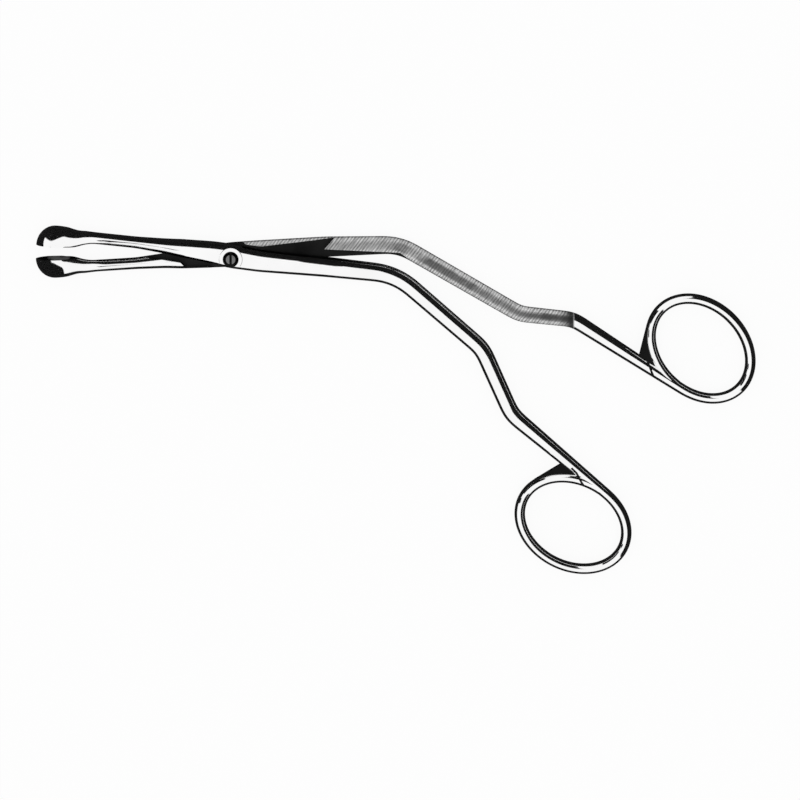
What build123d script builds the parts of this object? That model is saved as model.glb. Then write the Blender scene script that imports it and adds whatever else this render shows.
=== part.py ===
from build123d import *
from math import atan2, cos, degrees, radians, sin, sqrt
import os

# Nasal cutting forceps with ring handles, lying flat.
# Millimetres. The pivot screw's axis is the Z axis, and Z = 0 is the underside of the lap joint.
# The jaws point along -X, the handles run along +X and bend down towards -Y.
# Two forged arms cross at a half-lap joint, the front arm on top, and turn on one slotted screw.

# Lap joint
joint_thickness = 6.4
lap_gap = 0.1                 # between the two sliding lap faces
sweep_clearance = 0.35        # between an arm's shoulders and the other arm, over its whole travel
lap_disc_radius = 5.6         # round clearing of each lap about the pivot
rest_opening = 4.0            # degrees that the jaws stand open as the forceps lie

# Pivot screw
screw_head_diameter = 3.8
screw_head_height = 1.3
screw_head_proud = 0.3
head_clearance = 0.2          # around the head, in its counterbore
shoulder_diameter = 3.0       # smooth part that the front arm turns on
bearing_clearance = 0.04      # radial
seat_clearance = 0.06         # under the head
thread_diameter = 2.4         # in the rear arm, its end filed flush with the underside
slot_width = 0.65
slot_depth = 0.6
pad_diameter = 6.2            # round flat filed on the front arm about the screw
pad_height = 0.2

# Jaw bars and lap joint, as stations along X. Each row: place along X, width, thickness, edge rounding,
# and how far the front arm's and the rear arm's middle line stands from the pivot along Y.
jaw_reach = 46.6              # pivot to the middle of the cups
neck_behind_cup = 10.6        # from there back to the slimmest place of the bars
root_behind_cup = 5.6         # and to where the bars end, inside the backs of the cups
stations = [
    (root_behind_cup - jaw_reach, 3.4, 3.4, 1.2, 6.15, -2.40),
    (neck_behind_cup - jaw_reach, 3.1, 3.8, 1.2, 5.55, -1.78),
    (-25.0, 3.1, 4.8, 1.2, 4.40, -1.10),   # bar
    (-17.5, 4.0, 5.6, 1.1, 3.45, -0.40),   # bar swells towards the lap
    (-13.0, 4.9, joint_thickness, 1.0, 2.85, -0.05),   # shoulder of the lap
    (-5.0, 5.9, joint_thickness, 0.9, 1.80, 0.70),
    (0.0, 6.5, joint_thickness, 0.9, 0.85, 1.20),      # pivot
    (7.5, 6.0, joint_thickness, 0.9, -0.40, 1.95),
    (18.0, 5.6, joint_thickness, 1.0, -1.40, 2.75),
    (32.0, 4.6, 4.4, 1.3, -2.85, 3.60),    # ends inside the root of the handle
]

# Handles, as straight runs from the joint to the ring: where each starts, the lengths of its runs,
# their headings in degrees from +X, the width at each end of a run, and the radii of the bends
handle_thickness = 4.8
handle_rounding = 1.3
handle_root = 25.0            # pivot to where the handles start, inside the joint
front_root_offset = -2.05
front_shank = 18.6
front_slope = 30.25
front_knee = 19.1
front_tail = 32.8
front_headings = [-6.2, -40.8, -65.85, -40.05]
front_handle_widths = [5.4, 4.8, 4.5, 4.4, 2.7]
front_bend_radii = [18.0, 10.0, 10.0]
rear_root_offset = 3.25
rear_shank = 19.4
rear_slope = 36.7
rear_level = 14.3
rear_tail = 34.2
rear_headings = [1.6, -29.9, -6.0, -32.6]
rear_handle_widths = [5.4, 4.6, 4.3, 4.1, 2.7]
rear_bend_radii = [14.0, 8.0, 8.0]

# Finger rings, each the end of its handle bent round into an oval
ring_opening_length = 26.95
ring_opening_width = 20.1
ring_rod_width = 2.8
ring_rod_height = 4.8
ring_rounding = 1.25
ring_cant = 12.5              # degrees from the handle's last run to the oval's long axis
closing_turn = 80             # degrees before the touching point, where the crotch's web leaves the oval
web_height = 3.0              # of the brazed web between handle and oval, lower than both

# Jaws: together, closed, they are one hollow egg that the bite plane cuts in two
cup_middle_y = 0.32
cup_axis_slope = 1.2          # degrees
cup_nose = 5.0
cup_tail = 10.0
cup_half_height = 5.3         # across the bite plane, along Y
cup_half_width = 3.2          # along Z
cup_wall = 0.55
cup_back_wall = 0.8
cup_tail_wall = 4.6
bite_cant = 9.0               # degrees that the bite plane leans about the jaws' long axis
bite_gap = 0.15               # left between the two rims when closed
throat_start = 4.3            # behind the cups' middle, where the jaws part towards the bars
throat_length = 6.0
throat_half_height = 0.9      # at the throat's back end

# Lap recesses of the rear arm, where its shoulders cross its upper face
rear_left_shoulder = [(-11.85, -2.33), (-14.75, 0.70)]
rear_right_shoulder = [(23.4, 1.25), (27.4, 5.75)]
front_shoulder_reach = 12.0   # the front arm's lap reaches this far each side of the pivot

mid_level = joint_thickness / 2
head_top = joint_thickness + pad_height + screw_head_proud
head_seat = head_top - screw_head_height
lap_top_of_rear = mid_level - lap_gap / 2
lap_bottom_of_front = mid_level + lap_gap / 2
far = 2 * joint_thickness     # reach of the cutting solids beyond the faces they cut

# The bite plane holds the jaws' long axis, and leans about it so that the lower cup looks up a little
bite_plane = Plane(
    origin=(-jaw_reach, cup_middle_y, mid_level),
    x_dir=(cos(radians(cup_axis_slope)), sin(radians(cup_axis_slope)), 0),
    z_dir=Vector(0, cos(radians(bite_cant)), sin(radians(bite_cant))).rotate(Axis.Z, cup_axis_slope),
)

sections = [(width, thickness, rounding) for _, width, thickness, rounding, _, _ in stations]
front_middle_line = [(x, front_y) for x, _, _, _, front_y, _ in stations]
rear_middle_line = [(x, rear_y) for x, _, _, _, _, rear_y in stations]


def turned(point, angle):
    """The point turned about the pivot by an angle in degrees, seen from above."""
    c, s = cos(radians(angle)), sin(radians(angle))
    return (point[0] * c - point[1] * s, point[0] * s + point[1] * c)


def turned_about(centre, point, angle):
    """The point, given from a centre, turned about it by an angle in degrees."""
    x, y = turned(point, angle)
    return (centre[0] + x, centre[1] + y)


def edge(points, widths, side):
    """One edge of a band along a middle line: each point moved half a width sideways, mitred at its corner."""
    headings = [atan2(b[1] - a[1], b[0] - a[0]) for a, b in zip(points, points[1:])]
    moved = []
    for i, (x, y) in enumerate(points):
        before = headings[max(i - 1, 0)]
        after = headings[min(i, len(headings) - 1)]
        middle = (before + after) / 2
        reach = side * widths[i] / 2 / cos((after - before) / 2)
        moved.append((x - reach * sin(middle), y + reach * cos(middle)))
    return moved


def run_points(offset, lengths, headings):
    """The handle's middle line: its root beside the joint, then the end of each straight run."""
    points = [(handle_root, offset)]
    for length, heading in zip(lengths, headings):
        x, y = points[-1]
        points.append((x + length * cos(radians(heading)), y + length * sin(radians(heading))))
    return points


def outline(middle_line, handle, handle_widths):
    """Plan outline of one arm from its jaw bar to the second bend of its handle, as a closed loop of points."""
    points = middle_line[:-1] + handle[1:3]
    widths = [width for width, _, _ in sections][:-1] + handle_widths[1:3]
    return edge(points, widths, 1) + edge(points, widths, -1)[::-1]


def ring_centre(handle, side):
    """Centre and long-axis angle of the ring whose rod carries on the handle's last run without a kink."""
    (x0, y0), (x1, y1) = handle[-2:]
    heading = atan2(y1 - y0, x1 - x0)
    long_axis = heading - side * radians(ring_cant)
    a = (ring_opening_length + ring_rod_width) / 2
    b = (ring_opening_width + ring_rod_width) / 2
    outward = heading - side * radians(90)
    along, across = cos(outward - long_axis), sin(outward - long_axis)
    support = sqrt((a * along) ** 2 + (b * across) ** 2)
    du, dv = a * a * along / support, b * b * across / support
    cx = x1 - du * cos(long_axis) + dv * sin(long_axis)
    cy = y1 - du * sin(long_axis) - dv * cos(long_axis)
    return (cx, cy), degrees(long_axis)


def bar_and_joint(middle_line):
    """The jaw bar and the joint as one loft through the stations' rounded sections."""
    with BuildPart() as bar:
        for (x, y), (width, thickness, rounding) in zip(middle_line, sections):
            with BuildSketch(Plane(origin=(x, y, mid_level), x_dir=(0, 1, 0), z_dir=(1, 0, 0))):
                RectangleRounded(width, thickness, rounding)
        loft(ruled=True)
    return bar.part


def handle_rod(handle, widths, bend_radii):
    """The handle: its plan band with rounded bends, extruded and rounded along its long edges."""
    left = edge(handle, widths, 1)
    right = edge(handle, widths, -1)
    turns = [
        (b[0] - a[0]) * (c[1] - b[1]) - (b[1] - a[1]) * (c[0] - b[0])
        for a, b, c in zip(handle, handle[1:], handle[2:])
    ]
    inner_side = [1 if turn > 0 else -1 for turn in turns]
    left_radii = [r - s * w / 2 for r, s, w in zip(bend_radii, inner_side, widths[1:])]
    right_radii = [r + s * w / 2 for r, s, w in zip(bend_radii, inner_side, widths[1:])]
    with BuildPart() as rod:
        with BuildSketch(Plane.XY.offset(mid_level - handle_thickness / 2)):
            with BuildLine():
                one = FilletPolyline(*left, radius=left_radii)
                other = FilletPolyline(*right, radius=right_radii)
                Line(one @ 0, other @ 0)
                Line(one @ 1, other @ 1)
            make_face()
        extrude(amount=handle_thickness)
        flats = rod.faces().filter_by(Axis.Z)
        ends = rod.faces().filter_by(GeomType.PLANE).sort_by(Axis.X)
        rims = [e for e in flats.edges() if e not in ends[0].edges() and e not in ends[-1].edges()]
        fillet(rims, radius=handle_rounding)
    return rod.part


def finger_ring(handle, side):
    """The oval ring: a plan oval with an oval opening, extruded and rounded on all its edges."""
    centre, angle = ring_centre(handle, side)
    with BuildPart() as ring:
        with BuildSketch(Plane.XY.offset(mid_level - ring_rod_height / 2)):
            with Locations(Location((centre[0], centre[1], 0), (0, 0, angle))):
                Ellipse(ring_opening_length / 2 + ring_rod_width, ring_opening_width / 2 + ring_rod_width)
                Ellipse(ring_opening_length / 2, ring_opening_width / 2, mode=Mode.SUBTRACT)
        extrude(amount=ring_rod_height)
        fillet(ring.faces().filter_by(Axis.Z).edges(), radius=ring_rounding)
    return ring.part


def crotch_web(handle, side):
    """The web that fills the crotch: it leaves the oval on a straight tangent and runs to the handle's middle."""
    (cx, cy), angle = ring_centre(handle, side)
    (x0, y0), (x1, y1) = handle[-2:]
    heading = atan2(y1 - y0, x1 - x0)
    outward = heading - side * radians(90) - radians(angle)
    a = (ring_opening_length + ring_rod_width) / 2
    b = (ring_opening_width + ring_rod_width) / 2
    touch = atan2(b * sin(outward), a * cos(outward))

    def on_oval(grow, turn):
        t = touch - side * radians(turn)
        return turned_about((cx, cy), ((a + grow) * cos(t), (b + grow) * sin(t)), angle)

    grow = 0.46 * ring_rod_width
    leave = on_oval(grow, closing_turn)
    before = on_oval(grow, closing_turn + 1)
    dx, dy = leave[0] - before[0], leave[1] - before[1]
    rx, ry = x1 - x0, y1 - y0
    reach = ((x1 - leave[0]) * ry - (y1 - leave[1]) * rx) / (dx * ry - dy * rx)
    crotch = (leave[0] + reach * dx, leave[1] + reach * dy)
    rod_middle = [on_oval(0, closing_turn * share) for share in (0, 0.2, 0.4, 0.6, 0.8, 0.95)]
    with BuildPart() as web:
        with BuildSketch(Plane.XY.offset(mid_level - web_height / 2)):
            with BuildLine():
                Polyline(leave, crotch, *rod_middle, close=True)
            make_face()
        extrude(amount=web_height)
    return web.part


def egg(nose, tail, half_height, half_width):
    """A closed egg about the jaws' shared long axis, in the closed position."""
    quarter = 90
    with BuildPart() as body:
        with BuildSketch():
            with BuildLine():
                EllipticalCenterArc((0, 0), nose, half_width, start_angle=quarter, arc_size=quarter)
                EllipticalCenterArc((0, 0), tail, half_width, start_angle=0, arc_size=quarter)
                Line((-nose, 0), (tail, 0))
            make_face()
        revolve(axis=Axis.X)
    flattened = scale(body.part, by=(1, half_height / half_width, 1))
    return Location((-jaw_reach, cup_middle_y, mid_level), (0, 0, cup_axis_slope)) * flattened


def cup_outside(side):
    """One arm's half of the egg, on its side of the bite plane, in the closed position."""
    whole = egg(cup_nose, cup_tail, cup_half_height, cup_half_width)
    with BuildPart() as half:
        add(whole)
        split(bisect_by=bite_plane.offset(side * bite_gap / 2), keep=Keep.TOP if side > 0 else Keep.BOTTOM)
    return half.part


def cup_hollow():
    """The hollow that both cups share, in the closed position."""
    return egg(
        cup_nose - cup_wall,
        cup_tail - cup_tail_wall,
        cup_half_height - cup_back_wall,
        cup_half_width - cup_wall,
    )


def throat():
    """The wedge cleared between the backs of the cups, square to the bite plane, in the closed position."""
    with BuildPart() as wedge:
        with BuildSketch(Plane(origin=bite_plane.origin, x_dir=bite_plane.x_dir, z_dir=bite_plane.y_dir)):
            with BuildLine():
                Polyline(
                    (throat_start, 0),
                    (throat_start + throat_length, throat_half_height),
                    (throat_start + throat_length, -throat_half_height),
                    close=True,
                )
            make_face()
        extrude(amount=far, both=True)
    return wedge.part


front_handle = run_points(
    front_root_offset, [front_shank, front_slope, front_knee, front_tail], front_headings
)
rear_handle = run_points(rear_root_offset, [rear_shank, rear_slope, rear_level, rear_tail], rear_headings)
front_outline = outline(front_middle_line, front_handle, front_handle_widths)
rear_outline = outline(rear_middle_line, rear_handle, rear_handle_widths)
rear_hollows = [cup_hollow(), throat()]
front_hollows = [hollow.rotate(Axis.Z, -rest_opening) for hollow in rear_hollows]
front_solids = [
    bar_and_joint(front_middle_line),
    handle_rod(front_handle, front_handle_widths, front_bend_radii),
    finger_ring(front_handle, -1),
    crotch_web(front_handle, -1),
    cup_outside(1).rotate(Axis.Z, -rest_opening),
]
rear_solids = [
    bar_and_joint(rear_middle_line),
    handle_rod(rear_handle, rear_handle_widths, rear_bend_radii),
    finger_ring(rear_handle, 1),
    crotch_web(rear_handle, 1),
    cup_outside(-1),
]

# Front arm: upper jaw in the picture, upper half of the lap, lower handle and its ring
with BuildPart() as front_arm:
    add(front_solids)
    add(front_hollows, mode=Mode.SUBTRACT)
    # The lower half of the lap is cleared for the rear arm, from the shoulders and from its sweep
    with BuildSketch(Plane.XY.offset(lap_bottom_of_front)):
        with BuildLine():
            Polyline([turned(p, -rest_opening) for p in rear_outline], close=True)
        make_face()
        offset(amount=sweep_clearance, kind=Kind.INTERSECTION)
        Rectangle(2 * front_shoulder_reach, far)
        Circle(lap_disc_radius)
    extrude(amount=-far, mode=Mode.SUBTRACT)
    # Pad about the screw, within the arm's own outline, its bore and the counterbore for the head
    with BuildSketch(Plane.XY.offset(lap_bottom_of_front)):
        Circle(pad_diameter / 2)
        with BuildLine():
            Polyline(front_outline, close=True)
        make_face(mode=Mode.INTERSECT)
    extrude(amount=joint_thickness + pad_height - lap_bottom_of_front)
    with BuildSketch(Plane.XY):
        Circle(shoulder_diameter / 2 + bearing_clearance)
    extrude(amount=far, mode=Mode.SUBTRACT)
    with BuildSketch(Plane.XY.offset(head_seat - seat_clearance)):
        Circle(screw_head_diameter / 2 + head_clearance)
    extrude(amount=far, mode=Mode.SUBTRACT)

# Rear arm: lower jaw in the picture, lower half of the lap, upper handle and its ring
with BuildPart() as rear_arm:
    add(rear_solids)
    add(rear_hollows, mode=Mode.SUBTRACT)
    with BuildSketch(Plane.XY.offset(lap_top_of_rear)):
        with BuildLine():
            Polyline([turned(p, rest_opening) for p in front_outline], close=True)
        make_face()
        offset(amount=sweep_clearance, kind=Kind.INTERSECTION)
        with BuildLine():
            Polyline([*rear_left_shoulder, *rear_right_shoulder[::-1]], close=True)
        make_face()
        Circle(lap_disc_radius)
    extrude(amount=far, mode=Mode.SUBTRACT)
    with BuildSketch(Plane.XY):
        Circle(thread_diameter / 2)
    extrude(amount=far, mode=Mode.SUBTRACT)

# Pivot screw: slotted head, smooth shoulder through the front arm, thread in the rear arm
with BuildPart() as pivot_screw:
    with BuildSketch(Plane.XY):
        Circle(thread_diameter / 2)
    extrude(amount=lap_top_of_rear)
    with BuildSketch(Plane.XY.offset(lap_top_of_rear)):
        Circle(shoulder_diameter / 2)
    extrude(amount=head_seat - lap_top_of_rear)
    with BuildSketch(Plane.XY.offset(head_seat)):
        Circle(screw_head_diameter / 2)
    extrude(amount=screw_head_height)
    with BuildSketch(Plane.XY.offset(head_top - slot_depth)):
        Rectangle(slot_width, screw_head_diameter + 1)
    extrude(amount=slot_depth, mode=Mode.SUBTRACT)

os.makedirs("parts", exist_ok=True)
for name, piece in (("front_arm", front_arm), ("rear_arm", rear_arm), ("pivot_screw", pivot_screw)):
    piece.part.label = name
    export_step(piece.part, f"parts/{name}.step")
    print(name, len(piece.part.solids()), "solid", round(piece.part.volume, 1), "mm3")
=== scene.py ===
# %% [markdown]
# # Nasal cutting forceps
# The forceps are three pieces of steel: two forged arms that cross at a half-lap joint, and one slotted
# screw. Each arm is a single bar from the tip of its cup to the end of its finger ring, so each is made
# here as one surface carried along one line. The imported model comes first, as the fixed frame that
# everything must fit.

# %% Load the fixed frame
import math

import bmesh
import bpy
import numpy as np
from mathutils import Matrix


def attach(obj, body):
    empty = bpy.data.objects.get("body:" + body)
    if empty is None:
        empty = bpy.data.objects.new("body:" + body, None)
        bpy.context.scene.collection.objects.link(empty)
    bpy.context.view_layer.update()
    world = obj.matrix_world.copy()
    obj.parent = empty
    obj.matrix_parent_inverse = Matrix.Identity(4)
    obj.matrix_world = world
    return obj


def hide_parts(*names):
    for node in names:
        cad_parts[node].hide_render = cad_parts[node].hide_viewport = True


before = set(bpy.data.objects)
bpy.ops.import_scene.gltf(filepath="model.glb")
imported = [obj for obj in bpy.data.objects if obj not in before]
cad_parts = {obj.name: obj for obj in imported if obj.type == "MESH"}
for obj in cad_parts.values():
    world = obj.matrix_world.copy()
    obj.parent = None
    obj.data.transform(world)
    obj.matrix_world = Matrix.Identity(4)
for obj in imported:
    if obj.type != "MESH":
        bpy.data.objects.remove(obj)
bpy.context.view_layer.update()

# %% [markdown]
# ## Sizes
# All sizes are millimetres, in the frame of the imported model: the screw's axis is Z, the table is Z = 0,
# the jaws point along -X and the handles bend down towards -Y. They are the same driving sizes that the
# solids have, and a mesh is turned into metres only when it is made.

# %% Sizes of the joint, the screw and the cups
MM = 0.001
joint_thickness = 6.4
mid_level = joint_thickness / 2
lap_gap = 0.1
sweep_clearance = 0.35
lap_disc_radius = 5.6
rest_opening = 4.0            # degrees that the jaws stand open
front_shoulder_reach = 12.0
rear_left_shoulder = [(-11.85, -2.33), (-14.75, 0.70)]
rear_right_shoulder = [(23.4, 1.25), (27.4, 5.75)]

head_radius = 1.9
head_height = 1.3
head_top = 6.9
head_clearance = 0.2
shoulder_radius = 1.5
thread_radius = 1.2
slot_width = 0.65
slot_depth = 0.6
pad_radius = 3.1
pad_top = 6.6

jaw_reach = 46.6
cup_middle_y = 0.32
cup_axis_slope = 1.2          # degrees
cup_nose = 5.0
cup_tail = 10.0
cup_half_height = 5.3
cup_half_width = 3.2
cup_wall = 0.55
cup_back_wall = 0.8
cup_tail_wall = 4.6
bite_cant = 9.0               # degrees
bite_gap = 0.15
bar_offset = 2.85             # from the jaws' axis out to the middle of the bar behind the cup
bar_start = 5.6               # behind the cup's middle
jaw_bar_width = 3.4           # of the round bar that leaves the cup
polish_depth = 0.01           # taken off the cup by its polish
rim_roll = 0.6                # how far the skin of the cup's heel reaches past the bite before it is cut
rim_run_out = 0.13            # slope at which the bar's inner side leaves the bite
throat_square = 1.8           # added to the squareness of the inner side behind the cup

# Places behind the cup's middle between which one shape eases into the next.
heel_blend = (-1.5, 3.0)      # the egg's inner side into the rolled rim
height_blend = (0.0, 12.0)    # the cup's height into the bar's
back_blend = (3.0, 8.0)       # the cup's back into the bar
root_blend = (3.0, 8.0)       # the rolled rim into the run-out, which starts at run_out_start
side_blend = (6.0, 11.0)      # the inner side into the bar
square_blend = (3.0, 9.0)     # the egg's round section into the bar's squarer one
throat_start = (-2.0, 2.0)    # the extra squareness of the inner side comes
throat_end = (8.0, 14.0)      # and goes
run_out_start = 4.0           # from where the inner side rises by rim_run_out

# %% [markdown]
# ## Where the two arms run
# A smith would call this the centre line. Each row below is a place on it: X, width, height, and how square
# the section is there, where 2 is an ellipse and larger numbers come nearer to a rectangle with rounded
# edges. The arms share these rows and differ only in Y, which the last two numbers give for the front and
# the rear arm. The handles follow as straight runs with a length and a heading, and the seam of each closed
# ring is a short line of places in plan.

# %% Stations of the jaws and the joint, and runs of the handles
stations = [
    (-36.0, 3.1, 3.8, 2.1, 5.55, -1.78),
    (-25.0, 3.1, 4.8, 2.1, 4.40, -1.10),
    (-17.5, 4.0, 5.6, 2.3, 3.45, -0.40),
    (-13.0, 4.9, 6.4, 2.6, 2.85, -0.05),
    (-5.0, 5.9, 6.4, 3.0, 1.80, 0.70),
    (0.0, 6.5, 6.4, 3.2, 0.85, 1.20),
    (7.5, 6.0, 6.4, 3.0, -0.40, 1.95),
    (18.0, 5.6, 6.4, 2.8, -1.40, 2.75),
]
station_x, station_width, station_height, station_square, front_y, rear_y = np.array(stations).T
handle_root = 25.0
root_height = 5.4
handle_height = 4.8
thinned_share = 0.2           # of the first run, by which the handle has come down to its own height
handle_square = [2.4, 2.25, 2.15, 2.1, 2.1]
ring_square = [2.05, 2.0, 2.0]
ring_blend = 4.0              # length over which the handle's end becomes the ring's rod
ring_rod_width = 2.8
ring_rod_height = 4.66        # a hair lower than the handle, so that the seam between them shows
seam_width = 0.55
seam_level = 4.7
ring_opening_length = 26.95
ring_opening_width = 20.1
ring_cant = 12.5              # degrees
closing_turn = 80.0           # degrees before the ring closes, where the web of the crotch leaves the oval
web_height = 3.0
web_edge_share = 0.46         # of the rod's width, from its middle line out to where the web's edge starts

arms = {
    "front": {
        "side": 1,
        "turn": -rest_opening,
        "station_y": front_y,
        "root_y": -2.05,
        "runs": [18.6, 30.25, 19.1, 32.8],
        "headings": [-6.2, -40.8, -65.85, -40.05],
        "widths": [5.4, 4.8, 4.5, 4.4],
        "bends": [18.0, 10.0, 10.0],
        "ring_side": -1,
        "seam": [(90.0, -55.3), (91.4, -56.7), (92.6, -59.0), (94.3, -61.6)],
    },
    "rear": {
        "side": -1,
        "turn": 0.0,
        "station_y": rear_y,
        "root_y": 3.25,
        "runs": [19.4, 36.7, 14.3, 34.2],
        "headings": [1.6, -29.9, -6.0, -32.6],
        "widths": [5.4, 4.6, 4.3, 4.1],
        "bends": [14.0, 8.0, 8.0],
        "ring_side": 1,
        "seam": [(109.3, -25.2), (109.8, -26.4), (111.1, -29.8), (112.9, -33.6)],
    },
}


def turned(points, angle):
    """Points turned about the pivot: x' = x cos a - y sin a, y' = x sin a + y cos a."""
    points = np.asarray(points, float)
    c, s = math.cos(math.radians(angle)), math.sin(math.radians(angle))
    return points @ np.array([[c, s], [-s, c]])


def handle_points(arm):
    """The handle's root, then the end of each straight run: the running sum of length times heading."""
    headings = np.radians(arm["headings"])
    steps = np.array(arm["runs"])[:, None] * np.stack([np.cos(headings), np.sin(headings)], 1)
    return np.array([handle_root, arm["root_y"]]) + np.vstack([[0, 0], np.cumsum(steps, 0)])


for name, arm in arms.items():
    print(name, "handle points", handle_points(arm).round(2).tolist())

# %% [markdown]
# ## The centre line as one smooth curve
# A bent bar has straight runs joined by arcs. The arcs come from their radii, the ring is an ellipse that
# the last run touches, and the whole line is then sampled evenly and smoothed a little, because a kink that
# the eye misses on a matt surface shows at once in the reflections of a polished one.

# %% Helpers for lines
line_step = 0.2               # spacing of the samples on the centre line
smoothing_reach = 5.0         # length of the window that evens it out
arc_points = 24
oval_points = 400
buried_end = 0.10             # radians of the ring's oval left out, where it ends inside the handle


def eased(u, first, last):
    """0 up to the first place, 1 from the last one on, and 3 t^2 - 2 t^3 between them."""
    t = np.clip((u - first) / (last - first), 0, 1)
    return t * t * (3 - 2 * t)


def angles_around(count):
    """Equal steps round a circle, without the last one, which would be the first again."""
    return np.arange(count) / count * 2 * math.pi


def bent_bar(points, radii):
    """Straight runs joined by arcs. An arc of radius r starts r tan(turn / 2) before its corner, and its
    points are centre - r n(h), where the heading h goes evenly from one run's to the next one's and n is
    its left normal."""
    pieces = [points[:1]]
    for corner, radius in enumerate(radii, start=1):
        before, after = points[corner] - points[corner - 1], points[corner + 1] - points[corner]
        h0, h1 = math.atan2(before[1], before[0]), math.atan2(after[1], after[0])
        turn = h1 - h0
        r = math.copysign(radius, turn)
        start = points[corner] - before / np.hypot(*before) * r * math.tan(turn / 2)
        h = np.linspace(h0, h1, arc_points)
        centre = start + r * np.array([-math.sin(h0), math.cos(h0)])
        pieces.append(centre - r * np.stack([-np.sin(h), np.cos(h)], 1))
    return np.vstack([*pieces, points[-1:]])


def even_samples(points, step):
    """The same line with samples a fixed distance apart, by linear interpolation over its length."""
    run = np.concatenate([[0], np.cumsum(np.hypot(*np.diff(points, axis=0).T))])
    s = np.linspace(0, run[-1], int(run[-1] / step) + 1)
    return np.stack([np.interp(s, run, points[:, 0]), np.interp(s, run, points[:, 1])], 1)


def evened(values, reach, step):
    """A running average under a raised-cosine window. Its ends are carried on straight, so they stay
    put."""
    half = int(reach / step / 2)
    window = np.hanning(2 * half + 3)[1:-1]
    beside = [(half, half)] + [(0, 0)] * (values.ndim - 1)
    padded = np.pad(values, beside, mode="reflect", reflect_type="odd")
    columns = padded.reshape(len(padded), -1).T
    averaged = [np.convolve(c, window / window.sum(), "valid") for c in columns]
    return np.stack(averaged, 1).reshape(values.shape)


# %% The jaws' axis and the ring's oval


def cup_frame(arm):
    """Middle of the cup and the direction of the jaws' axis, for one arm at rest."""
    heading = math.radians(cup_axis_slope + arm["turn"])
    return turned([-jaw_reach, cup_middle_y], arm["turn"]), np.array([math.cos(heading), math.sin(heading)])


def left_of(direction):
    """The direction a quarter turn to the left."""
    return np.stack([-direction[..., 1], direction[..., 0]], -1)


def left_along(points):
    """The left normal at every point of a line."""
    heading = np.gradient(points, axis=0)
    return left_of(heading / np.hypot(*heading.T)[:, None])


def jaw_bar(arm):
    """Two places of the line beside the cup: level with its tip, and where the bar leaves it."""
    middle, axis = cup_frame(arm)
    beside = middle + arm["side"] * bar_offset * left_of(axis)
    return np.array([beside - cup_nose * axis, beside + bar_start * axis])


def station_points(arm):
    """The stations of the arm in plan."""
    return np.stack([station_x, arm["station_y"]], 1)


def ring_oval(arm, grow=0.0, turns=None):
    """The ring's middle line, c + a cos(t) U + b sin(t) V. It starts where the handle's last run touches it
    and goes round to just before that point again, where its end lies inside the handle. A grown oval lies
    outside it, and turns in radians pick out places on it."""
    before, touch = handle_points(arm)[-2:]
    heading = math.atan2(*(touch - before)[::-1])
    long_axis = heading - arm["ring_side"] * math.radians(ring_cant)
    u = np.array([math.cos(long_axis), math.sin(long_axis)])
    v = left_of(u)
    a, b = (ring_opening_length + ring_rod_width) / 2, (ring_opening_width + ring_rod_width) / 2
    outward = heading - arm["ring_side"] * math.pi / 2
    along, across = math.cos(outward - long_axis), math.sin(outward - long_axis)
    start = math.atan2(b * across, a * along)
    centre = touch - a * math.cos(start) * u - b * math.sin(start) * v
    if turns is None:
        turns = np.linspace(0, 2 * math.pi - buried_end, oval_points)
    t = start + arm["ring_side"] * np.asarray(turns)
    return centre + (a + grow) * np.cos(t)[:, None] * u + (b + grow) * np.sin(t)[:, None] * v


def centre_line(arm):
    """The arm's middle line from its cup's tip to its ring's end, and its length up to the ring."""
    handle = bent_bar(handle_points(arm), arm["bends"])
    body = np.vstack([jaw_bar(arm), station_points(arm), handle])
    ring = ring_oval(arm)
    to_ring = np.hypot(*np.diff(body, axis=0).T).sum()
    line = evened(even_samples(np.vstack([body, ring[1:]]), line_step), smoothing_reach, line_step)
    return line, to_ring


for name, arm in arms.items():
    line, to_ring = centre_line(arm)
    print(name, "line", round(len(line) * line_step, 1), "mm, of which the bar", round(float(to_ring), 1))

# %% [markdown]
# ## From a line to a bar
# The section is a superellipse: |across|^n + |up|^n = 1, scaled to half the width and half the height. One
# number, n, takes it from the round of the cup to the flat-sided bar of the joint, so the arm stays one
# smooth skin and its highlights run on from the jaw to the ring, as they do on a forging that was polished
# in one go. Towards the cup's heel the skin reaches only a little past the bite, so that its rim rolls over
# before it is cut, and draws the thin dark line that the picture has under the upper jaw.

# %% The skin of an arm
columns_around = 64
row_step = 0.45
tip_rows = 26
tip_start = 0.06              # radians from the tip to the first row, on the circle that spaces the rows


def outward(mesh):
    """Turns the mesh's faces outwards."""
    shell = bmesh.new()
    shell.from_mesh(mesh)
    bmesh.ops.recalc_face_normals(shell, faces=shell.faces)
    shell.to_mesh(mesh)
    shell.free()


def placed(name, mesh):
    """An object for the mesh, put into the scene."""
    piece = bpy.data.objects.new(name, mesh)
    bpy.context.scene.collection.objects.link(piece)
    return piece


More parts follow.
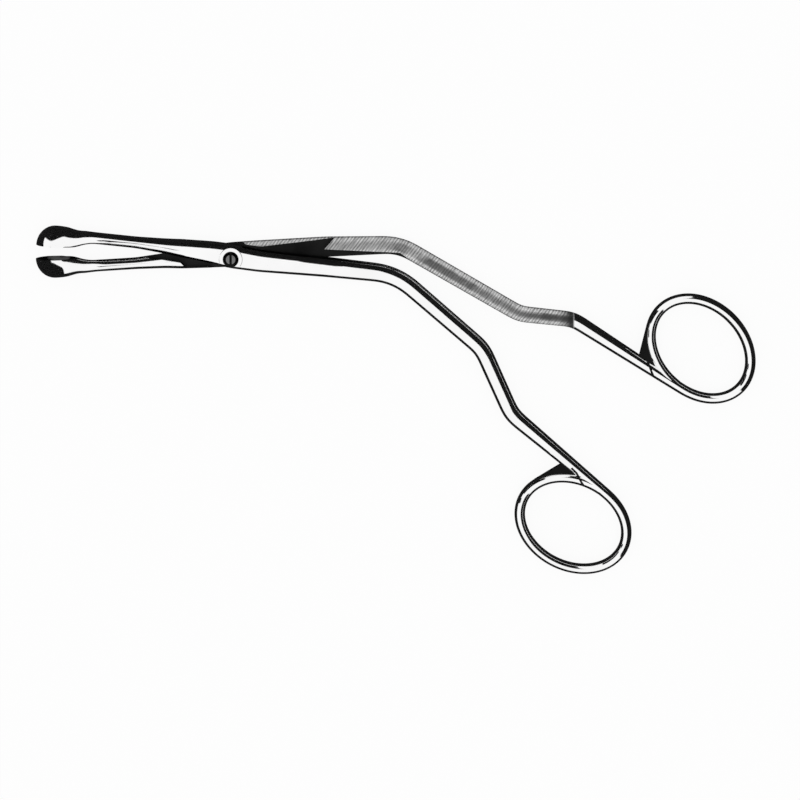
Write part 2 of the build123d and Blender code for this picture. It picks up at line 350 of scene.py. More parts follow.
def closed_skin(name, grid, first_pole, last_pole, uv=None):
    """A closed mesh from a grid of points, rows along and columns around. Neighbouring rows are joined by
    quads, and a fan of triangles closes each end at its pole."""
    rows, columns = grid.shape[:2]
    points = np.vstack([grid.reshape(-1, 3), first_pole, last_pole]) * MM
    row = np.arange(rows - 1)[:, None] * columns
    here = np.arange(columns)[None, :]
    after = (here + 1) % columns
    quads = np.stack([row + here, row + after, row + columns + after, row + columns + here], -1)
    quads = quads.reshape(-1, 4)
    first, last = rows * columns, rows * columns + 1
    end_row = (rows - 1) * columns
    here, after = here[0], after[0]
    first_fan = np.stack([np.full(columns, first), after, here], 1)
    last_fan = np.stack([np.full(columns, last), end_row + here, end_row + after], 1)
    mesh = bpy.data.meshes.new(name)
    mesh.from_pydata(points.tolist(), [], quads.tolist() + first_fan.tolist() + last_fan.tolist())
    if uv is not None:
        flat = np.vstack([uv.reshape(-1, 2), uv[0, 0], uv[-1, 0]])
        corners = np.zeros(len(mesh.loops), int)
        mesh.loops.foreach_get("vertex_index", corners)
        layer = mesh.uv_layers.new(name="polish")
        layer.data.foreach_set("uv", flat[corners].astype(np.float32).ravel())
    outward(mesh)
    mesh.polygons.foreach_set("use_smooth", np.ones(len(mesh.polygons), bool))
    return placed(name, mesh)


def skin_uv(along, around):
    """One coordinate along the piece, and one that is 1 at its outer edge, 0.5 on top and 0 at its inner
    edge, and comes back underneath, so that no seam shows."""
    shape = (len(along), len(around))
    across = np.abs(around / math.pi - 1)
    return np.stack([np.broadcast_to(along[:, None] / 10, shape), np.broadcast_to(across, shape)], -1)


# %% The section along an arm


def signed_power(x, p):
    """|x|^p with the sign of x."""
    return np.sign(x) * np.abs(x) ** p


def egg_share(u, nose, tail):
    """How wide an egg is at u along its axis, as a share of its full width: sqrt(1 - (u / reach)^2)."""
    reach = np.where(u < 0, nose, tail)
    return np.sqrt(np.clip(1 - (u / reach) ** 2, 0, None))


def bar_along(arm):
    """At every sample of the arm's line: running length, middle, left normal, half width, half height,
    squareness. The sizes are those of the nearest stations, carried on evenly between them and smoothed
    like the line."""
    line, to_ring = centre_line(arm)
    line_s = np.arange(len(line)) * line_step
    handle = handle_points(arm)
    thinned = handle[0] + (handle[1] - handle[0]) * thinned_share
    knots = np.vstack([line[:1], station_points(arm), handle[:1], [thinned], handle[1:4]])
    bar = line[None, :int(to_ring / line_step)]
    nearest = ((bar - knots[:, None]) ** 2).sum(-1).argmin(1) * line_step
    knot_s = np.concatenate([nearest, [to_ring, to_ring + ring_blend, line_s[-1]]])
    first_widths = np.interp([0, thinned_share, 1], [0, 1], arm["widths"][:2])
    width, height, square = [
        evened(np.interp(line_s, knot_s, sizes), smoothing_reach, line_step)
        for sizes in (
            [jaw_bar_width, *station_width, *first_widths, *arm["widths"][2:4], *[ring_rod_width] * 3],
            [jaw_bar_width, *station_height, root_height, *[handle_height] * 5, *[ring_rod_height] * 2],
            [2.0, *station_square, *handle_square, *ring_square],
        )
    ]
    return line_s, [*line.T, *left_along(line).T, width / 2, height / 2, square]


def section_reach(u, bar_half, bar_up):
    """How far the section reaches outwards, inwards and upwards, at u behind the cup's middle. On the cup
    it is an egg about the jaws' axis, and from there each of its sides eases into the bar."""
    share = egg_share(u, cup_nose, cup_tail)
    egg_half = (cup_half_height - polish_depth) * share
    egg_up = cup_half_width * np.where(u < 0, share, 1)
    back, side, rise = eased(u, *back_blend), eased(u, *side_blend), eased(u, *height_blend)
    heel, root = eased(u, *heel_blend), eased(u, *root_blend)
    run_out = rim_run_out * np.clip(u - run_out_start, 0, None)
    inner_edge = (rim_roll - egg_half) * (1 - heel) - rim_roll * (1 - root) + run_out
    outer = (1 - back) * (egg_half - bar_offset) + back * bar_half
    inner = (1 - side) * (inner_edge - bar_offset) - side * bar_half
    return outer, inner, (1 - rise) * egg_up + rise * bar_up


def arm_grid(arm):
    """Points of the arm's skin, its two poles and its UVs: at each row, a superellipse across the line."""
    line_s, values = bar_along(arm)
    tip = cup_nose * (1 - np.cos(np.linspace(tip_start, math.pi / 2, tip_rows)))
    s = np.concatenate([tip, np.arange(cup_nose + row_step, line_s[-1], row_step)])
    x, y, nx, ny, bar_half, bar_up, bar_square = [np.interp(s, line_s, v) for v in values]
    u = s - cup_nose
    outer, inner, up = section_reach(u, bar_half, bar_up)

    around = angles_around(columns_around)
    n = 2 + (bar_square - 2) * eased(u, *square_blend)
    throat = eased(u, *throat_start) * (1 - eased(u, *throat_end))
    n = n[:, None] + throat[:, None] * np.where(np.cos(around) < 0, throat_square, 0)
    middle_across, half_across = (outer + inner)[:, None] / 2, (outer - inner)[:, None] / 2
    across = arm["side"] * (middle_across + half_across * signed_power(np.cos(around), 2 / n))
    grid = np.stack([
        x[:, None] + nx[:, None] * across,
        y[:, None] + ny[:, None] * across,
        mid_level + up[:, None] * signed_power(np.sin(around), 2 / n),
    ], -1)
    middle, axis = cup_frame(arm)
    tip_pole = np.append(middle - cup_nose * axis, mid_level)
    return grid, tip_pole, grid[-1].mean(0), skin_uv(s, around)


def arm_skin(name, arm):
    """The arm's closed skin as a piece."""
    grid, tip_pole, end_pole, uv = arm_grid(arm)
    piece = closed_skin(name, grid, tip_pole, end_pole, uv)
    print(name, "skin", grid.shape[0], "rows of", grid.shape[1], "points")
    return piece


# %% [markdown]
# ## Finishes
# Surgical steel is polished along its length with finer and finer wheels, so even the mirror finish keeps
# faint lines along the bar and a slightly uneven shine. The rear arm's shank is duller: it was left
# cross-ground, in short strokes that slant across the bar, and its grey colour there is painted shade,
# darker along its middle and at its edges, with a painted highlight on its flanks and a nearly black end.
# The lap faces slide on each other and stay matt; their near-black colour is painted shade, as are the
# near-black insides of the cups, the slot and bevel of the screw, and the crotch webs. One function makes
# every steel here, from its tone and its shine, and a second one adds the cross-ground stretch.

# %% Helpers for materials


def node(tree, kind, **values):
    """A new node of that kind, with the given inputs or properties set."""
    made = tree.nodes.new(kind)
    for key, value in values.items():
        if key in made.inputs:
            made.inputs[key].default_value = value
        else:
            setattr(made, key, value)
    return made


def scratch_lines(tree, source, stretch, scale, detail):
    """Noise squeezed by unequal scales, so that its blobs are drawn out into lines."""
    squeeze = node(tree, "ShaderNodeMapping")
    squeeze.inputs["Scale"].default_value = stretch
    tree.links.new(source, squeeze.inputs["Vector"])
    lines = node(tree, "ShaderNodeTexNoise", Scale=scale, Detail=detail, Roughness=0.6)
    tree.links.new(squeeze.outputs["Vector"], lines.inputs["Vector"])
    return lines.outputs["Fac"]


def ranged(tree, value, low, high, from_low=0.3, from_high=0.7):
    """The value carried from one range to another."""
    change = node(tree, "ShaderNodeMapRange")
    for key, number in zip(("From Min", "From Max", "To Min", "To Max"), (from_low, from_high, low, high)):
        change.inputs[key].default_value = number
    tree.links.new(value, change.inputs["Value"])
    return change.outputs["Result"]


def feed(tree, value, socket):
    """Gives a socket its value, which is a number, a colour or another node's socket."""
    if isinstance(value, bpy.types.NodeSocket):
        tree.links.new(value, socket)
    else:
        socket.default_value = value


def combined(tree, operation, *values):
    """A math node's result for one or two values."""
    made = node(tree, "ShaderNodeMath", operation=operation)
    for value, socket in zip(values, made.inputs):
        feed(tree, value, socket)
    return made.outputs[0]


def mixed(tree, share, first, second, kind="FLOAT"):
    """first where share is 0, second where it is 1."""
    mix = node(tree, "ShaderNodeMix", data_type=kind)
    start = {"FLOAT": 2, "RGBA": 6}[kind]
    result = {"FLOAT": 0, "RGBA": 2}[kind]
    tree.links.new(share, mix.inputs[0])
    feed(tree, first, mix.inputs[start])
    feed(tree, second, mix.inputs[start + 1])
    return mix.outputs[result]


def grey(value):
    """An opaque grey."""
    return (value, value, value, 1)


# %% Steel
scratch_depth = 0.05 * MM
stroke_slant = 38.0           # degrees
fade_in = 0.6                 # half the length over which the cross-ground stretch starts
fade_out = 0.25               # and stops
middle_shade_span = (62.0, 80.0)    # X values between which the painted shade along its middle deepens
dark_end_span = (4.0, 1.0)       # before its end, between which it turns nearly black


def cross_grinding_with_painted_light(tree, places, cloud, first, last, tone):
    """The cross-ground stretch between two X values: its share of the finish, its tone and its relief.
    Lines run across the bar in two directions. Its grey colour is painted shade: the bar's middle is
    painted darker, its flanks get a painted highlight between their strokes, its edges are painted dark,
    and its last few millimetres are nearly black. The bands are set by their distance in UV from the bar's
    middle line, which is 0.5 at its edge."""
    split = node(tree, "ShaderNodeSeparateXYZ")
    tree.links.new(places.outputs["Object"], split.inputs["Vector"])
    along_x = split.outputs["X"]
    begun = ranged(tree, along_x, 0, 1, (first - fade_in) * MM, (first + fade_in) * MM)
    over = ranged(tree, along_x, 1, 0, (last - fade_out) * MM, (last + fade_out) * MM)
    share = combined(tree, "MULTIPLY", begun, over)

    turn = node(tree, "ShaderNodeMapping", Rotation=(0, 0, math.radians(stroke_slant)))
    tree.links.new(places.outputs["Object"], turn.inputs["Vector"])
    one_way = scratch_lines(tree, places.outputs["Object"], (700, 180, 180), 2.0, 2.0)
    other_way = scratch_lines(tree, turn.outputs["Vector"], (1500, 160, 160), 2.0, 2.0)
    hatch = node(tree, "ShaderNodeTexWave", Scale=450.0, Distortion=1.2, Detail=2.0)
    tree.links.new(turn.outputs["Vector"], hatch.inputs["Vector"])
    relief = combined(tree, "ADD", mixed(tree, one_way, hatch.outputs["Fac"], other_way), other_way)
    strokes = ranged(tree, relief, 0, 1, 0.6, 1.4)

    sides = node(tree, "ShaderNodeSeparateXYZ")
    tree.links.new(places.outputs["UV"], sides.inputs["Vector"])
    off_middle = combined(tree, "ABSOLUTE", combined(tree, "SUBTRACT", sides.outputs["Y"], 0.5))
    middle_shade_band = ranged(tree, off_middle, 1, 0, 0.04, 0.18)
    flank_highlight_band = ranged(tree, off_middle, 0, 1, 0.10, 0.20)
    edge_shade_band = ranged(tree, off_middle, 0, 1, 0.33, 0.36)
    shade_deepening = ranged(tree, along_x, 0.3, 0.85, *(x * MM for x in middle_shade_span))
    middle_shade = combined(tree, "MULTIPLY", middle_shade_band, shade_deepening)
    spots = ranged(tree, cloud, 0.75, 0, 0.38, 0.5)
    dark_end = ranged(tree, along_x, 0, 0.95, *((last - x) * MM for x in dark_end_span))

    # The grey tone is painted shade; the flanks get a painted highlight, the middle and the edges painted
    # shade, and the last few millimetres turn nearly black.
    look = mixed(tree, strokes, grey(tone * 0.5), grey(tone * 1.7), "RGBA")
    look = mixed(tree, spots, look, grey(0.06), "RGBA")
    look = mixed(tree, flank_highlight_band, look, mixed(tree, strokes, grey(0.32), grey(1.0), "RGBA"), "RGBA")
    look = mixed(tree, middle_shade, look, grey(0.05), "RGBA")
    look = mixed(tree, edge_shade_band, look, mixed(tree, strokes, grey(0.01), grey(0.45), "RGBA"), "RGBA")
    return share, mixed(tree, dark_end, look, grey(0.01), "RGBA"), relief


def steel(name, tone, dull_tone, shine, dull_shine, bump=0.04, satin=None):
    """A steel whose tone and roughness wander between two values, with fine lines along it in its bump.
    satin, if given, is (first X, last X, tone, roughness): between them the steel is cross-ground and
    duller, and its grey tone there is painted shade."""
    material = bpy.data.materials.new(name)
    material.use_nodes = True
    tree = material.node_tree
    shader = tree.nodes["Principled BSDF"]
    shader.inputs["Metallic"].default_value = 1.0
    places = node(tree, "ShaderNodeTexCoord")
    cloud = node(tree, "ShaderNodeTexNoise", Scale=90.0, Detail=4.0, Roughness=0.55)
    tree.links.new(places.outputs["Object"], cloud.inputs["Vector"])
    along = scratch_lines(tree, places.outputs["UV"], (0.05, 12, 1), 40.0, 3.0)
    colour = mixed(tree, ranged(tree, cloud.outputs["Fac"], 0, 1), grey(tone), grey(dull_tone), "RGBA")
    rough = mixed(tree, ranged(tree, along, 0, 1), shine, dull_shine)
    height = along
    if satin:
        first, last, satin_shade_tone, satin_rough = satin
        share, look, relief = cross_grinding_with_painted_light(tree, places, cloud.outputs["Fac"], first, last, satin_shade_tone)
        colour = mixed(tree, share, colour, look, "RGBA")
        rough = mixed(tree, share, rough, satin_rough)
        height = mixed(tree, share, along, relief)
        tree.links.new(mixed(tree, share, 1.0, 0.3), shader.inputs["Metallic"])
    bumps = node(tree, "ShaderNodeBump", Strength=bump, Distance=scratch_depth)
    tree.links.new(height, bumps.inputs["Height"])
    tree.links.new(colour, shader.inputs["Base Color"])
    tree.links.new(rough, shader.inputs["Roughness"])
    tree.links.new(bumps.outputs["Normal"], shader.inputs["Normal"])
    return material


# From X = 2 to 90.5 mm the rear arm is cross-ground and duller; its grey tone of 0.46 there is painted
# shade.
cross_ground = (2.0, 90.5, 0.46, 0.60)
front_steel = steel("front_polish", 0.96, 0.91, 0.05, 0.10, bump=0.02)
rear_steel = steel("rear_polish_and_painted_shade", 0.96, 0.91, 0.05, 0.10, bump=0.02, satin=cross_ground)
# Near black and matt: painted shade on the lap faces, the bores and the seam grooves.
matt_painted_shade = steel("matt_steel_painted_shade", 0.028, 0.010, 0.38, 0.55, bump=0.1)
# Near black: painted shade inside the hollowed cups.
cup_painted_shade = steel("cup_inside_painted_shade", 0.10, 0.02, 0.16, 0.26, bump=0.06)
screw_steel = steel("screw_turned", 0.24, 0.13, 0.22, 0.34, bump=0.08)
# Near black: painted shade in the slot, on the screw's bevel and on the crotch webs.
black_painted_shade = steel("black_steel_painted_shade", 0.02, 0.01, 0.45, 0.6, bump=0.05)

# %% [markdown]
# ## Cutting tools
# What a milling cutter and a burr do on the bench, booleans do here: each cutter is its own small closed
# shape, and the faces that it leaves take the cutter's finish. Most cutters carry a near-black colour, so
# the recesses, bores, slots, grooves and hollows that they leave show painted shade. The lap recess of one
# arm is cut with the outline of the other, turned to where it lies when the jaws are shut and widened by a
# clearance, so that nothing can meet over the whole travel.

# %% Cutters
below, above = -3.0, 10.0     # levels clear of the forceps
bite_block = ((-8, 8.5), (0, 9), (-7, 7))   # from the cup's middle: along the axis, away from the bite, up
burr_rings = 49
lathe_columns = 96


def carve(piece, cutter, operation="DIFFERENCE", crossing_itself=False):
    """Cuts the cutter out of the piece, or joins it on, and throws the cutter away."""
    cut = piece.modifiers.new("carve", "BOOLEAN")
    cut.operation = operation
    cut.solver = "EXACT"
    cut.object = cutter
    cut.use_self = crossing_itself
    cut.material_mode = "TRANSFER"
    seen = piece.evaluated_get(bpy.context.evaluated_depsgraph_get())
    carved = bpy.data.meshes.new_from_object(seen)
    piece.modifiers.clear()
    piece.data = carved
    bpy.data.objects.remove(cutter)
    return piece


def block(name, loop, low, high, material):
    """A prism: the loop of points in plan at the low and the high level, with a flat face on each."""
    loop = np.asarray(loop, float)
    count = len(loop)
    levels = [np.column_stack([loop, np.full(count, z)]) for z in (low, high)]
    here = np.arange(count)
    after = (here + 1) % count
    sides = np.stack([here, after, count + after, count + here], 1).tolist()
    return solid(name, np.vstack(levels), sides + [here[::-1].tolist(), (count + here).tolist()], material)


def solid(name, points, faces, material):
    """A closed mesh with flat faces, in metres, with its faces turned outwards."""
    mesh = bpy.data.meshes.new(name)
    mesh.from_pydata((np.asarray(points) * MM).tolist(), [], faces)
    outward(mesh)
    mesh.materials.append(material)
    return placed(name, mesh)


def turned_part(name, profile, material):
    """A lathe shape: a profile of (radius, height) points swung round the screw's axis. The first and last
    points lie on the axis and become the poles."""
    profile = np.asarray(profile, float)
    around = angles_around(lathe_columns)
    radius, level = profile[1:-1, :1], profile[1:-1, 1:]
    levels = np.broadcast_to(level, (len(radius), lathe_columns))
    grid = np.stack([radius * np.cos(around), radius * np.sin(around), levels], -1)
    uv = skin_uv(np.arange(len(radius)), around)
    piece = closed_skin(name, grid, [0, 0, profile[0, 1]], [0, 0, profile[-1, 1]], uv)
    piece.data.materials.append(material)
    return piece


def rounded_corner(corner, radius, start, end, count=6):
    """Points on a quarter arc about a corner's centre, from one angle to another in degrees."""
    t = np.radians(np.linspace(start, end, count))
    return np.stack([corner[0] + radius * np.cos(t), corner[1] + radius * np.sin(t)], 1)


def hollow_cutter(arm):
    """The burr that hollows a cup: an egg about the jaws' axis, its section an ellipse across it."""
    middle, axis = cup_frame(arm)
    nose, tail = cup_nose - cup_wall, cup_tail - cup_tail_wall
    t = np.linspace(0, math.pi, burr_rings)[1:-1]
    u = np.where(t < math.pi / 2, -nose, -tail) * np.cos(t)
    share = np.sin(t)[:, None]
    around = angles_around(columns_around)
    across = (cup_half_height - cup_back_wall) * share * np.cos(around)
    up = (cup_half_width - cup_wall) * share * np.sin(around)
    side = left_of(axis)
    grid = np.stack([
        middle[0] + axis[0] * u[:, None] + side[0] * across,
        middle[1] + axis[1] * u[:, None] + side[1] * across,
        mid_level + up,
    ], -1)
    first, last = np.append(middle - nose * axis, mid_level), np.append(middle + tail * axis, mid_level)
    piece = closed_skin("burr", grid, first, last)
    # The hollow's near-black colour is painted shade inside the cup.
    piece.data.materials.append(cup_painted_shade)
    return piece


def bite_cutter(arm, material):
    """The block on the far side of the bite plane, which leans about the jaws' axis."""
    middle, axis = cup_frame(arm)
    lean = math.radians(bite_cant)
    forward = np.append(axis, 0)
    normal = np.append(left_of(axis) * math.cos(lean), math.sin(lean))
    upward = np.cross(forward, normal)
    origin = np.append(middle, mid_level) + arm["side"] * bite_gap / 2 * normal
    corners = [
        origin + forward * a + upward * c - arm["side"] * normal * b
        for a in bite_block[0] for b in bite_block[1] for c in bite_block[2]
    ]
    faces = [[0, 1, 3, 2], [4, 6, 7, 5], [0, 4, 5, 1], [2, 3, 7, 6], [0, 2, 6, 4], [1, 5, 7, 3]]
    return solid("bite", corners, faces, material)


def outline(arm, extra):
    """The arm's plan outline from its jaw bar to the second bend of its handle: each point of the line
    moved half a width and the clearance to the left and to the right, along the mitre of its corner."""
    points = np.vstack([jaw_bar(arm)[1], station_points(arm), handle_points(arm)[1:3]])
    widths = np.array([jaw_bar_width, *station_width, *arm["widths"][1:3]]) + 2 * extra
    heading = np.arctan2(*np.diff(points, axis=0).T[::-1])
    before, after = np.append(heading[:1], heading), np.append(heading, heading[-1:])
    mitre = (before + after) / 2
    reach = widths / 2 / np.cos((after - before) / 2)
    shift = reach[:, None] * np.stack([-np.sin(mitre), np.cos(mitre)], 1)
    return np.vstack([points + shift, (points - shift)[::-1]])


def crotch_web(arm):
    """The brazed web between handle and ring, near black as painted shade in the crotch. Its free edge
    leaves the oval on a tangent and meets the handle's middle line: reach = (touch - leave) x run /
    (tangent x run)."""
    closing = math.radians(closing_turn)
    leaving = 2 * math.pi - closing
    before, leave = ring_oval(arm, web_edge_share * ring_rod_width, [leaving - math.radians(1), leaving])
    run_start, touch = handle_points(arm)[-2:]
    tangent, run = leave - before, touch - run_start
    reach = ((touch - leave) @ left_of(run)) / (tangent @ left_of(run))
    rod_middle = ring_oval(arm, 0, 2 * math.pi - closing * np.linspace(0, 0.95, 6))
    loop = np.vstack([leave, leave + reach * tangent, rod_middle])
    return block("web", loop, mid_level - web_height / 2, mid_level + web_height / 2, black_painted_shade)


def seam_cutter(arm):
    """A narrow blade that scores the seam where the arm's ring is closed. Its groove takes the near-black
    colour of the lap faces, painted shade.
    """
    points = np.array(arm["seam"])
    aside = left_along(points) * seam_width / 2
    return block("seam", np.vstack([points + aside, (points - aside)[::-1]]), seam_level, above, matt_painted_shade)


def rectangle(half_x, half_y):
    """A four-cornered loop about the origin."""
    return np.array([(-1, -1), (1, -1), (1, 1), (-1, 1)], float) * (half_x, half_y)


def disc(radius):
    """A round loop about the pivot."""
    around = angles_around(lathe_columns)
    return radius * np.stack([np.cos(around), np.sin(around)], 1)


# %% [markdown]
# ## The front arm
# It carries the upper jaw in the picture, crosses over the rear arm, and ends in the lower ring. Its lower
# half is milled away at the lap. A round pad, kept within the arm's own width, is filed flat about the
# screw, whose head sits in a counterbore. Where the ring comes back to its handle, a lower brazed web fills
# the crotch, and a scored line shows where the ring was closed; both are near black, which is painted
# shade. The same two are made on the rear arm.

# %% Front arm
front_lap_level = mid_level + lap_gap / 2
rear_lap_level = mid_level - lap_gap / 2
pad_round = 0.12
pad_base = 5.2
pad_clip_level = 5.0
pad_inset = 0.9               # in from the arm's outline
bore_play = 0.04
seat_play = 0.06
thread_play = 0.03

front_arm = arm_skin("front_arm_forging", arms["front"])
front_arm.data.materials.append(front_steel)
carve(front_arm, crotch_web(arms["front"]), "UNION", crossing_itself=True)
pad_edge = rounded_corner((pad_radius - pad_round, pad_top - pad_round), pad_round, 0, 90)
pad_profile = [(0, pad_base), (pad_radius, pad_base), *pad_edge, (0, pad_top)]
pad = turned_part("pad", pad_profile, front_steel)
pad_limit = block("within", outline(arms["front"], -pad_inset), pad_clip_level, above, front_steel)
carve(pad, pad_limit, "INTERSECT")
carve(front_arm, pad, "UNION", crossing_itself=True)
shoulders = rectangle(front_shoulder_reach, front_shoulder_reach)
carve(front_arm, block("recess", shoulders, below, front_lap_level, matt_painted_shade))
rear_swept = turned(outline(arms["rear"], sweep_clearance), -rest_opening)
carve(front_arm, block("sweep", rear_swept, below, front_lap_level, matt_painted_shade))
bore = shoulder_radius + bore_play
seat = head_top - head_height - seat_play
counterbore = head_radius + head_clearance
drill = [(0, below), (bore, below), (bore, seat), (counterbore, seat), (counterbore, above), (0, above)]
carve(front_arm, turned_part("drill", drill, matt_painted_shade))
carve(front_arm, bite_cutter(arms["front"], front_steel))
carve(front_arm, hollow_cutter(arms["front"]))
carve(front_arm, seam_cutter(arms["front"]))
print("front arm", len(front_arm.data.polygons), "faces")

# %% [markdown]
# ## The rear arm
# The same forging the other way round: lower jaw, upper handle. Its upper half is milled away where the
# front arm crosses, between two slanting shoulders.

# %% Rear arm
rear_arm = arm_skin("rear_arm_forging", arms["rear"])
rear_arm.data.materials.append(rear_steel)
carve(rear_arm, crotch_web(arms["rear"]), "UNION", crossing_itself=True)
recess = [*rear_left_shoulder, *rear_right_shoulder[::-1]]
carve(rear_arm, block("recess", recess, rear_lap_level, above, matt_painted_shade), crossing_itself=True)
front_swept = turned(outline(arms["front"], sweep_clearance), rest_opening)
carve(rear_arm, block("sweep", front_swept, rear_lap_level, above, matt_painted_shade))
carve(rear_arm, block("disc", disc(lap_disc_radius), rear_lap_level, above, matt_painted_shade))
tapped = thread_radius + thread_play
thread_hole = [(0, below), (tapped, below), (tapped, above), (0, above)]
carve(rear_arm, turned_part("tap", thread_hole, matt_painted_shade))
carve(rear_arm, bite_cutter(arms["rear"], rear_steel))
carve(rear_arm, hollow_cutter(arms["rear"]))
carve(rear_arm, seam_cutter(arms["rear"]))
print("rear arm", len(rear_arm.data.polygons), "faces")

# %% [markdown]
# ## The screw
# A turned screw: low domed head with a rounded edge, smooth shoulder, thread. Its slot stands nearly
# upright in the picture, which is where it came to rest when it was tightened. A turned bevel rings its
# face
# and catches dark reflections: the head is met by a cone, whose side, like the slot's walls, also takes a
# near-black colour that is painted shade.

# %% Pivot screw
bevel_height = 0.62           # a turned bevel rings the head's rim, coloured near black as painted shade
bevel_radius = 1.15
bevel_slope = bevel_height / (head_radius - bevel_radius)
cone_radius = 4.0             # of the cone that leaves the bevel, at its wide end
head_edge = 0.42
dome = 0.10
crown_start = 0.15            # radius of the smallest ring of points on the dome
thread_chamfer = 0.1
slot_reach = 3.0
edge_arc = rounded_corner((head_radius - head_edge, head_top - dome - head_edge), head_edge, 0, 90)
head_under = head_top - head_height
crown = np.linspace(head_radius - head_edge, crown_start, 8)
crown_level = head_top - dome * (crown / (head_radius - head_edge)) ** 2
screw_profile = [
    (0, 0), (thread_radius - thread_chamfer, 0), (thread_radius, thread_chamfer),
    (thread_radius, rear_lap_level), (shoulder_radius, rear_lap_level), (shoulder_radius, head_under),
    (head_radius, head_under), *edge_arc, *np.column_stack([crown, crown_level])[1:], (0, head_top),
]
screw = turned_part("slotted_screw", screw_profile, screw_steel)
half_slot = slot_width / 2
slot_loop = rectangle(half_slot, slot_reach)
# The slot's walls and the bevel's cone take a near-black colour: painted shade.
carve(screw, block("slot", slot_loop, head_top - slot_depth, above, black_painted_shade))
bevel = [
    (0, below), (cone_radius, below), (cone_radius, head_top - bevel_slope * (cone_radius - bevel_radius)),
    (bevel_radius, head_top), (0, above),
]
carve(screw, turned_part("bevel", bevel, black_painted_shade), "INTERSECT")

# %% [markdown]
# ## Smooth skin, crisp edges
# A polished bar is smooth until it meets a milled edge. Every edge where two faces meet at more than thirty
# degrees is marked sharp, and the rest shade as one skin.

# %% Shading and bodies
sharp_angle = math.radians(30)
for piece in (front_arm, rear_arm, screw):
    mesh = piece.data
    mesh.polygons.foreach_set("use_smooth", np.ones(len(mesh.polygons), bool))
    mesh.set_sharp_from_angle(angle=sharp_angle)
    mesh.update()

for piece, body, replaced, slot_name in (
    (front_arm, "front", "front_arm", "polished_steel"),
    (rear_arm, "rear", "rear_arm", "polished_steel"),
    (screw, "rear", "pivot_screw", "screw_steel"),
):
    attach(piece, body)
    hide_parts(replaced)
    print(piece.name, "rides on", body)

# %% [markdown]
# ## Table, light and camera
# Polished metal looks like what stands round it. In the picture nearly everything round the forceps is
# white, and something dark lies beyond their upper right side: that is what draws the black band along each
# bar, as a photographer does with black cards. So the surroundings are white, with two tall cards beyond
# that side, smaller ones close to the joint and the cups, and one on the table that darkens every lower
# edge. Only reflections can see the cards.

# %% Floor and cards


def plate(name, corners, material):
    """A flat four-cornered sheet of the stage, in metres."""
    mesh = bpy.data.meshes.new(name)
    mesh.from_pydata([tuple(c) for c in corners], [], [[0, 1, 2, 3]])
    mesh.materials.append(material)
    piece = placed(name, mesh)
    return piece


def only_in_reflections(piece):
    """A card that the camera and the shadows don't see."""
    piece.visible_camera = False
    piece.visible_diffuse = False
    piece.visible_shadow = False
    piece.visible_transmission = False
    return piece


def any_ray(tree, *kinds):
    """1 for light paths of any of these kinds and 0 for the others."""
    path = node(tree, "ShaderNodeLightPath")
    found = path.outputs[kinds[0]]
    for kind in kinds[1:]:
        found = combined(tree, "MAXIMUM", found, path.outputs[kind])
    return found


floor_paint = bpy.data.materials.new("floor_paint")
floor_paint.use_nodes = True
tree = floor_paint.node_tree
tree.nodes.clear()
matt = node(tree, "ShaderNodeBsdfDiffuse")
matt.inputs["Color"].default_value = (0.93, 0.93, 0.93, 1)
glow = node(tree, "ShaderNodeEmission", Strength=1.0)
blend = node(tree, "ShaderNodeMixShader")
out = node(tree, "ShaderNodeOutputMaterial")
glow_share = 0.92             # the rest keeps the shadow of the forceps
glowing = combined(tree, "MULTIPLY", any_ray(tree, "Is Camera Ray", "Is Glossy Ray"), glow_share)
tree.links.new(glowing, blend.inputs[0])
tree.links.new(matt.outputs[0], blend.inputs[1])
tree.links.new(glow.outputs[0], blend.inputs[2])
tree.links.new(blend.outputs[0], out.inputs[0])

dark_card = bpy.data.materials.new("dark_card")
dark_card.use_nodes = True
card_shader = dark_card.node_tree.nodes["Principled BSDF"]
card_shader.inputs["Base Color"].default_value = (0.012, 0.012, 0.012, 1)
card_shader.inputs["Roughness"].default_value = 0.9
card_shader.inputs["Specular IOR Level"].default_value = 0.0

floor_half = 3                # metres
forceps_middle = np.array([0.045, -0.037])
plate("floor", [(*corner, 0) for corner in rectangle(floor_half, floor_half)], floor_paint)


def standing_card(name, azimuth, low, high, distance, half_width):
    """A flat card that faces the forceps from an azimuth, between two elevations in degrees."""
    a = math.radians(azimuth)
    outwards, sideways = np.array([math.cos(a), math.sin(a)]), np.array([-math.sin(a), math.cos(a)])
    bottom = forceps_middle + outwards * distance
    low_z, high_z = distance * math.tan(math.radians(low)), distance * math.tan(math.radians(high))
    left, right = bottom + sideways * half_width, bottom - sideways * half_width
    corners = [(*left, low_z), (*right, low_z), (*right, high_z), (*left, high_z)]
    return only_in_reflections(plate(name, corners, dark_card))


def near_card(name, first, last, low, high):
    """A card beside the forceps, which only the part near it reflects. Ends and levels are in mm."""
    corners = [(*first, low), (*last, low), (*last, high), (*first, high)]
    return only_in_reflections(plate(name, np.array(corners, float) * MM, dark_card))


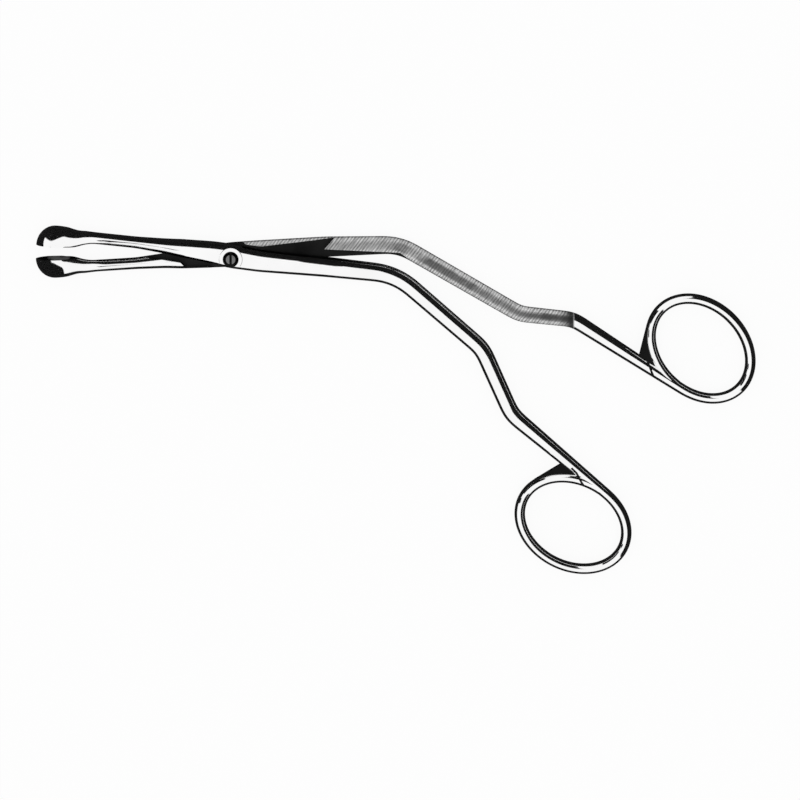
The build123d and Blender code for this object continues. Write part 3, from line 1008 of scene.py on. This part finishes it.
standing_card("upper_right_card", 45, 0, 77, 1.0, 0.64)
standing_card("right_card", -12, 0, 66, 1.0, 0.60)
near_card("joint_card", (-95, 36), (52, 36), 0, 125)
near_card("tip_card", (-82, -2), (-82, 36), 0, 30)
near_card("lower_tip_card", (-82, -34), (-82, -4), 0, 110)
near_card("lower_cup_card", (-82, -34), (-42, -34), 0, 135)
low_level = 0.0002            # metres, a hair above the floor
low_corners = [(x, y, low_level) for x, y in ((-1.3, -1.3), (1.4, -1.3), (1.4, 1.3), (-1.3, 1.3))]
only_in_reflections(plate("low_card", low_corners, dark_card))

# %% Light
world = bpy.data.worlds.new("white_room")
world.use_nodes = True
bpy.context.scene.world = world
tree = world.node_tree
background = tree.nodes["Background"]
# The room is dimmer in the light that it gives than for the eye and for mirrors, which see it white.
room_level = 0.62
white_rays = any_ray(tree, "Is Camera Ray", "Is Glossy Ray", "Is Transmission Ray")
tree.links.new(ranged(tree, white_rays, room_level, 1.0, 0, 1), background.inputs["Strength"])
background.inputs["Color"].default_value = (1, 1, 1, 1)

softbox = bpy.data.lights.new("softbox", "AREA")
softbox.shape = "SQUARE"
softbox.size = 1.5
softbox.energy = 8.6
softbox_object = bpy.data.objects.new("softbox", softbox)
softbox_object.location = (0.02, -0.06, 1.6)
softbox_object.visible_glossy = False
bpy.context.scene.collection.objects.link(softbox_object)

# %% [markdown]
# ## The camera
# The picture looks straight down on the flat of the forceps, from far away, leaning a little towards the
# upper edge, so that the hollow of the lower cup just shows.

# %% Camera
photo_width = 0.212           # metres across the picture, at the height of the joint
view_centre = np.array([0.0446, -0.0374, mid_level * MM])
camera_tilt = math.radians(5.0)
lens, sensor = 180.0, 36.0
distance = photo_width * lens / sensor

camera = bpy.data.cameras.new("camera")
camera.lens = lens
camera.sensor_width = sensor
camera_object = bpy.data.objects.new("camera", camera)
towards_camera = np.array([0, math.sin(camera_tilt), math.cos(camera_tilt)])
camera_object.location = view_centre + distance * towards_camera
camera_object.rotation_euler = (-camera_tilt, 0, 0)
bpy.context.scene.collection.objects.link(camera_object)
bpy.context.scene.camera = camera_object
bpy.context.scene.view_settings.view_transform = "Standard"
print("camera", round(distance, 3), "m away")
